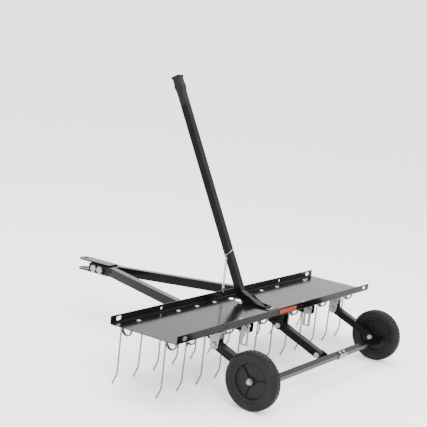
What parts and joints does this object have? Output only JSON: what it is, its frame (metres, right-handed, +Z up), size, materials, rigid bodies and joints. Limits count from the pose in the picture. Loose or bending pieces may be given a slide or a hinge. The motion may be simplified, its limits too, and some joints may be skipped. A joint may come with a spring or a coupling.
{
  "type": "lawn dethatcher",
  "caption": "Tow-behind lawn dethatcher: flanged steel tray over two rows of coil-sprung wire tines, V drawbar with pin hitch, hinged wheel frame raised by a long lever",
  "frame": {"origin": "on the ground under the middle of the machine's footprint", "axes": "+X to the machine's right across the tray, +Y forward towards the hitch, +Z up"},
  "size_m": [1.219, 1.14, 0.9284],
  "materials": {
    "powder_black": "gloss black powder coat with slight orange peel",
    "zinc": "bright zinc plate, lightly mottled",
    "spring_steel": "drawn spring wire, thin oil-dark film",
    "tyre": "semi-matt moulded black, fine tread ribs",
    "wheel_plastic": "fine-grained moulded black plastic",
    "grip": "soft moulded black vinyl",
    "label": "plain orange-red vinyl decal",
    "bush": "natural grey nylon"
  },
  "bodies": {
    "tray_frame": {"tray_pan": "powder_black", "flange_label": "label", "drawbar_left": "powder_black", "drawbar_right": "powder_black", "hitch_clevis": "powder_black", "hitch_bolts": "zinc", "drawbar_bolts": "zinc", "adjust_strap_left": "zinc", "adjust_strap_right": "zinc", "strap_bolts": "zinc", "pivot_bracket_left": "zinc", "pivot_bracket_right": "zinc", "centre_bracket": "powder_black", "bracket_bolts": "zinc", "pivot_bolts": "zinc", "lever_guide": "powder_black", "guide_bolts": "zinc", "lever_spring": "zinc", "tine_clips": "zinc", "tine_bolts": "zinc", "tine_nuts": "zinc", "tine_front_1": "spring_steel", "tine_front_2": "spring_steel", "tine_front_3": "spring_steel", "tine_front_4": "spring_steel", "tine_front_5": "spring_steel", "tine_front_6": "spring_steel", "tine_rear_1": "spring_steel", "tine_rear_2": "spring_steel", "tine_rear_3": "spring_steel", "tine_rear_4": "spring_steel", "tine_rear_5": "spring_steel", "tine_rear_6": "spring_steel"},
    "wheel_frame": {"wheel_arm_left": "powder_black", "wheel_arm_right": "powder_black", "axle_tube_left": "powder_black", "axle_tube_right": "powder_black", "axle_sleeve": "powder_black", "splice_clamp": "zinc", "splice_bolts": "zinc", "lift_lever": "powder_black", "lever_bolt": "zinc", "handle_grip": "grip", "spindle_left": "zinc", "spindle_right": "zinc", "spindle_washers": "zinc", "spindle_caps": "zinc"},
    "wheel_left": {"tyre_left": "tyre", "wheel_disc_left": "wheel_plastic", "wheel_bush_left": "bush"},
    "wheel_right": {"tyre_right": "tyre", "wheel_disc_right": "wheel_plastic", "wheel_bush_right": "bush"}
  },
  "joints": [
    {"name": "lever_lift", "type": "hinge", "parent": "tray_frame", "child": "wheel_frame", "pos_m": [0, -0.318, 0.155], "axis": [1, 0, 0], "range_deg": [-12, 0], "deforming": ["lever_spring"]},
    {"name": "wheel_left_spin", "type": "hinge", "parent": "wheel_frame", "child": "wheel_left", "pos_m": [-0.413, -0.47801, 0.09003], "axis": [1, 0, 0], "continuous": true},
    {"name": "wheel_right_spin", "type": "hinge", "parent": "wheel_frame", "child": "wheel_right", "pos_m": [0.413, -0.47801, 0.09003], "axis": [1, 0, 0], "continuous": true}
  ]
}
